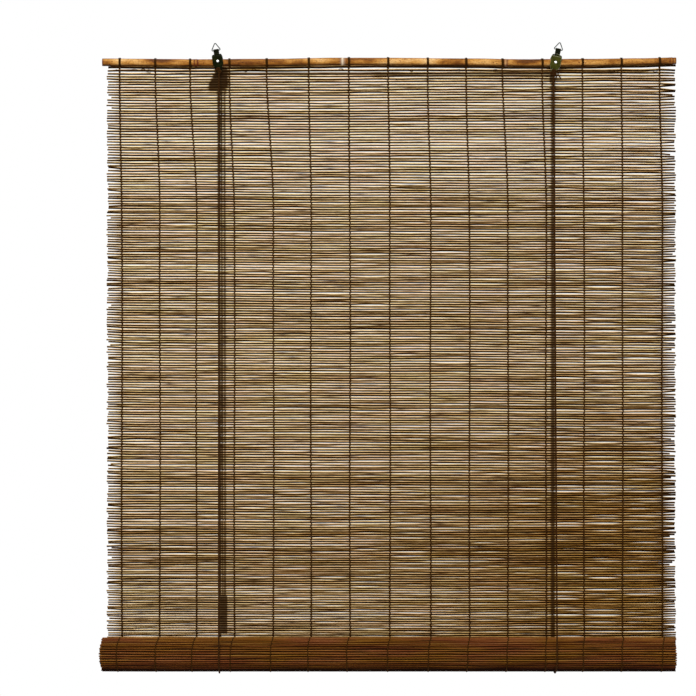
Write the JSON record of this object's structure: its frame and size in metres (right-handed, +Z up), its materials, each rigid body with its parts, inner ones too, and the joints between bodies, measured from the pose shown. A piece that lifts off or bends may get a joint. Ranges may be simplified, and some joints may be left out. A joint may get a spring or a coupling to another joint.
{
  "type": "reed roll up blind",
  "caption": "Roll up blind of thin reeds bound by warp threads, hung from a bamboo pole, half rolled up on a bottom rod in two cord loops.",
  "frame": {"origin": "on the head pole's axis, at its middle", "axes": "+X to the viewer's right along the pole, +Y away from the viewer, +Z up"},
  "size_m": [0.9117, 0.0836, 0.9975],
  "materials": {
    "bamboo": "satin, lacquered cane",
    "reed": "matte, unpeeled reed",
    "warp_thread": "matte twisted thread",
    "green_paint": "semi-gloss dark green enamel",
    "bright_rivet": "polished",
    "dark_wire": "blackened wire",
    "pin_steel": "plain",
    "pulley_plastic": "matte moulded",
    "cord": "matte braided cord",
    "tassel": "matte thread"
  },
  "bodies": {
    "blind": {"head_pole": "bamboo", "reed_mat": "reed", "warp_thread_01": "warp_thread", "warp_thread_02": "warp_thread", "warp_thread_03": "warp_thread", "warp_thread_04": "warp_thread", "warp_thread_05": "warp_thread", "warp_thread_06": "warp_thread", "warp_thread_07": "warp_thread", "warp_thread_08": "warp_thread", "warp_thread_09": "warp_thread", "warp_thread_10": "warp_thread", "warp_thread_11": "warp_thread", "warp_thread_12": "warp_thread", "warp_thread_13": "warp_thread", "warp_thread_14": "warp_thread", "warp_thread_15": "warp_thread", "bracket_left": "green_paint", "bracket_right": "green_paint", "rivet_left": "bright_rivet", "rivet_right": "bright_rivet", "pulley_housing_left": "green_paint", "pulley_housing_right": "green_paint", "axle_left": "pin_steel", "axle_right": "pin_steel", "lock_pin": "pin_steel", "lift_cord_left_front": "cord", "lift_cord_right_front": "cord", "lift_cord_left_back": "cord", "lift_cord_right_back": "cord", "lift_cord_left_end": "cord", "cross_cord": "cord", "cord_hank": "cord", "pull_cord_1": "cord", "pull_cord_2": "cord", "tassel_head": "tassel", "tassel_skirt": "tassel"},
    "slings": {"sling_left": "cord", "sling_right": "cord"},
    "roll": {"reed_roll": "reed", "bottom_rod": "bamboo"},
    "ring_left": {"ring_left": "dark_wire"},
    "ring_right": {"ring_right": "dark_wire"},
    "wheel_left_lift": {"wheel_left_lift": "pulley_plastic"},
    "wheel_left_cross": {"wheel_left_cross": "pulley_plastic"},
    "wheel_right": {"wheel_right": "pulley_plastic"},
    "lock_cam_lift": {"lock_cam_lift": "pulley_plastic"},
    "lock_cam_cross": {"lock_cam_cross": "pulley_plastic"}
  },
  "joints": [
    {"name": "roll_lift", "type": "slide", "parent": "blind", "child": "slings", "axis": [0, 0, 1], "range_m": [0, 0.86], "deforming": ["reed_mat", "warp_thread_01", "warp_thread_02", "warp_thread_03", "warp_thread_04", "warp_thread_05", "warp_thread_06", "warp_thread_07", "warp_thread_08", "warp_thread_09", "warp_thread_10", "warp_thread_11", "warp_thread_12", "warp_thread_13", "warp_thread_14", "warp_thread_15", "lift_cord_left_front", "lift_cord_right_front", "lift_cord_left_back", "lift_cord_right_back"]},
    {"name": "roll_spin", "type": "hinge", "parent": "slings", "child": "roll", "pos_m": [0, -0.02701, -0.935], "axis": [1, 0, 0], "range_deg": [-1440, 0]},
    {"name": "ring_left_swing", "type": "hinge", "parent": "blind", "child": "ring_left", "pos_m": [-0.27425, 0, 0.01868], "axis": [0.9877, 0, 0.1564], "range_deg": [-90, 90]},
    {"name": "ring_right_swing", "type": "hinge", "parent": "blind", "child": "ring_right", "pos_m": [0.26794, 0, 0.02], "axis": [0.9763, 0, -0.2164], "range_deg": [-90, 90]},
    {"name": "wheel_left_lift_turn", "type": "hinge", "parent": "blind", "child": "wheel_left_lift", "pos_m": [-0.2652, 0.0101, -0.0231], "axis": [0, 1, 0], "continuous": true},
    {"name": "wheel_left_cross_turn", "type": "hinge", "parent": "blind", "child": "wheel_left_cross", "pos_m": [-0.2652, 0.0136, -0.0231], "axis": [0, 1, 0], "continuous": true},
    {"name": "wheel_right_turn", "type": "hinge", "parent": "blind", "child": "wheel_right", "pos_m": [0.2537, 0.0101, -0.0231], "axis": [0, 1, 0], "continuous": true},
    {"name": "lock_cam_lift_turn", "type": "hinge", "parent": "blind", "child": "lock_cam_lift", "pos_m": [-0.2652, 0.0101, -0.032], "axis": [0, 1, 0], "range_deg": [0, 50]},
    {"name": "lock_cam_cross_turn", "type": "hinge", "parent": "blind", "child": "lock_cam_cross", "pos_m": [-0.2652, 0.0136, -0.032], "axis": [0, 1, 0], "range_deg": [-50, 0]}
  ],
  "couplings": [
    {"joint": "roll_spin", "follows": "roll_lift", "rad_per_m": -29.224},
    {"joint": "wheel_left_lift_turn", "follows": "roll_lift", "rad_per_m": 400},
    {"joint": "wheel_left_cross_turn", "follows": "roll_lift", "rad_per_m": -400},
    {"joint": "wheel_right_turn", "follows": "roll_lift", "rad_per_m": -400}
  ]
}
